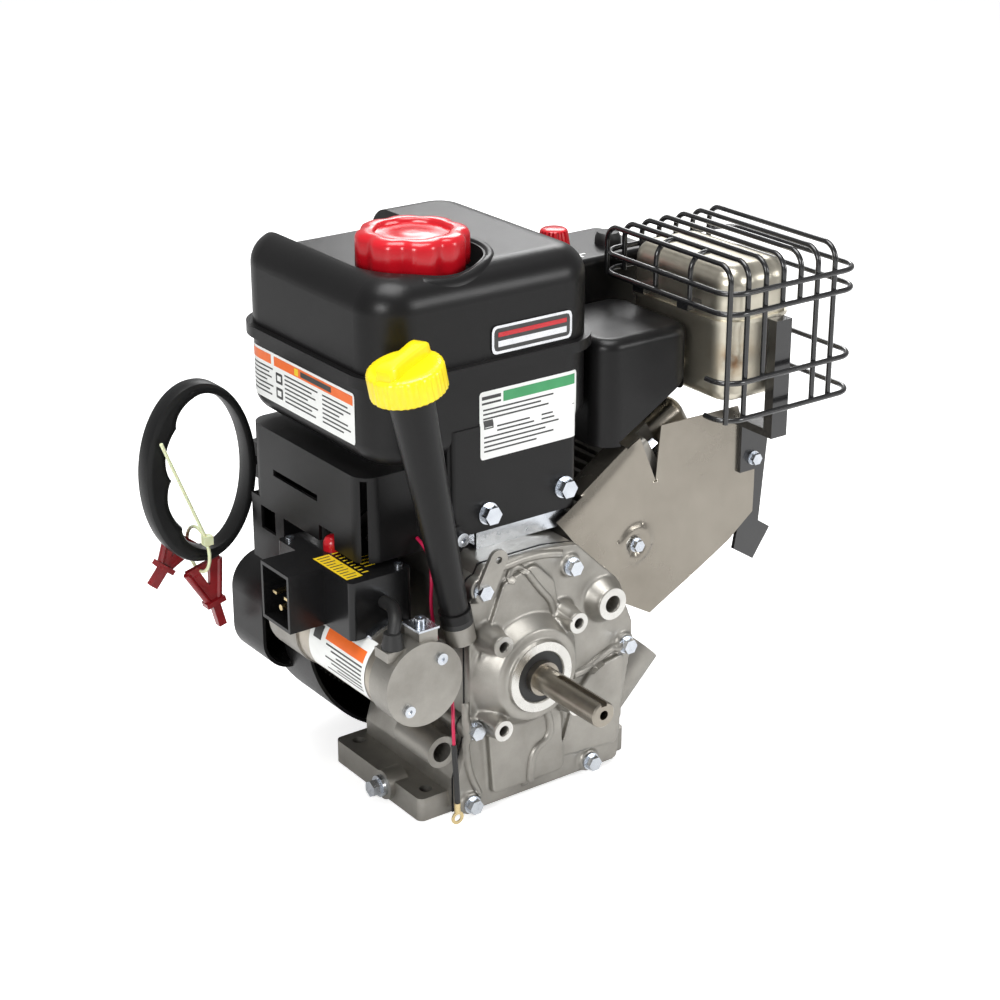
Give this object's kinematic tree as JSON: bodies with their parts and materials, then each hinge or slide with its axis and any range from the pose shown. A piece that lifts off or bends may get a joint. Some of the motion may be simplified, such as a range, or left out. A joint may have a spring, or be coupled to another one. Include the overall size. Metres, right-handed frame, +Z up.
{
  "type": "small engine",
  "caption": "Small single-cylinder gasoline engine with electric and recoil starters, guarded muffler, fuel tank, oil filler tube and keyed output shaft.",
  "frame": {"origin": "on the base underside, under the crankshaft, midway between the base holes in Y", "axes": "+X towards the cylinder and muffler, -Y out along the keyed output shaft, +Z up"},
  "size_m": [0.472, 0.3173, 0.412],
  "materials": {
    "cast_block": "die-cast aluminium, machined bosses",
    "zinc": "zinc plated",
    "steel": "machined",
    "iron": "cast",
    "black_shell": "satin moulded",
    "red_cap": "glossy moulded",
    "black_rubber": "matte",
    "muffler_steel": "satin, heat tinted",
    "black_wire": "gloss black",
    "starter_shell": "nickel plated",
    "black_box": "semi-gloss",
    "brass_pins": "plated",
    "yellow_cap": "glossy moulded",
    "shield_steel": "satin",
    "black_grip": "matte moulded",
    "rope": "braided",
    "nylon": "translucent nylon",
    "key_red": "glossy moulded",
    "ceramic": "glazed, steel shell",
    "wire_red": "vinyl insulation"
  },
  "bodies": {
    "engine": {"crankcase": "cast_block", "side_cover": "cast_block", "drain_plug": "zinc", "blower_housing": "black_shell", "starter_cable": "black_rubber", "gaskets_and_seals": "black_rubber", "flange_bolts": "zinc", "pan_screws": "zinc", "engine_bolts": "zinc", "piston_rings_and_pin": "steel", "starter_bracket": "zinc", "muffler_body": "muffler_steel", "muffler_guard": "black_wire", "cylinder_sleeve": "iron", "rocker_cover": "steel", "cylinder_head": "cast_block", "exhaust_valve": "steel", "exhaust_pushrod": "steel", "exhaust_rocker": "steel", "intake_valve": "steel", "intake_pushrod": "steel", "intake_rocker": "steel", "piston": "cast_block", "connecting_rod": "cast_block", "main_bearings": "steel", "starter_can": "starter_shell", "starter_end_cap": "cast_block", "starter_drive_housing": "cast_block", "switch_box": "black_box", "inlet_prongs": "brass_pins", "tank_upper": "black_shell", "tank_lower": "black_shell", "tank_bracket": "zinc", "oil_fill_tube": "black_shell", "muffler_lid": "muffler_steel", "heat_shield": "shield_steel", "recoil_housing": "black_shell", "carburetor": "cast_block", "spark_plug": "ceramic", "ignition_coil": "black_rubber", "carb_hood": "black_shell", "control_panel": "black_shell", "guard_brackets": "black_wire", "lead_wire": "wire_red", "lead_terminal": "brass_pins"},
    "crank": {"crankshaft": "steel", "flywheel": "iron"},
    "cam": {"camshaft": "steel"},
    "recoil": {"recoil_pulley": "black_shell"},
    "handle": {"pull_handle": "black_grip", "rope_end": "rope", "zip_tie": "nylon", "safety_keys": "key_red"},
    "rotor": {"starter_rotor": "steel"},
    "pinion": {"starter_pinion": "steel"},
    "cap": {"fuel_cap": "red_cap"},
    "dipstick": {"dipstick_cap": "yellow_cap"},
    "choke": {"choke_knob": "red_cap"},
    "primer": {"primer_bulb": "black_rubber"},
    "button": {"switch_button": "red_cap"}
  },
  "joints": [
    {"name": "crank_turn", "type": "hinge", "parent": "engine", "child": "crank", "pos_m": [0, 0, 0.106], "axis": [0, 1, 0], "continuous": true},
    {"name": "cam_turn", "type": "hinge", "parent": "engine", "child": "cam", "pos_m": [0.018, 0, 0.052], "axis": [0, 1, 0], "continuous": true},
    {"name": "handle_pull", "type": "slide", "parent": "engine", "child": "handle", "axis": [-1, 0, 0], "range_m": [0, 0.7], "stiffness_N_per_m": 12},
    {"name": "recoil_turn", "type": "hinge", "parent": "engine", "child": "recoil", "pos_m": [0, 0.1365, 0.106], "axis": [0, 1, 0], "range_deg": [0, 900]},
    {"name": "starter_turn", "type": "hinge", "parent": "engine", "child": "rotor", "pos_m": [-0.091, 0, 0.123], "axis": [0, 1, 0], "continuous": true},
    {"name": "pinion_shift", "type": "slide", "parent": "rotor", "child": "pinion", "axis": [0, 1, 0], "range_m": [0, 0.017], "stiffness_N_per_m": 150},
    {"name": "fuel_cap_turn", "type": "hinge", "parent": "engine", "child": "cap", "pos_m": [-0.033, 0.014, 0.395], "axis": [0, 0, 1], "range_deg": [0, 90]},
    {"name": "dipstick_draw", "type": "slide", "parent": "engine", "child": "dipstick", "axis": [-0.2104, -0.018, 0.9775], "range_m": [0, 0.2]},
    {"name": "choke_turn", "type": "hinge", "parent": "engine", "child": "choke", "pos_m": [0.124, 0.062, 0.35], "axis": [0, 0, 1], "range_deg": [0, 75]},
    {"name": "primer_press", "type": "slide", "parent": "engine", "child": "primer", "axis": [0, 0, -1], "range_m": [0, 0.004], "stiffness_N_per_m": 500},
    {"name": "button_press", "type": "slide", "parent": "engine", "child": "button", "axis": [0, 0, -1], "range_m": [0, 0.003], "stiffness_N_per_m": 500}
  ],
  "couplings": [
    {"joint": "cam_turn", "follows": "crank_turn", "ratio": -0.5},
    {"joint": "recoil_turn", "follows": "handle_pull", "rad_per_m": 22.222}
  ]
}
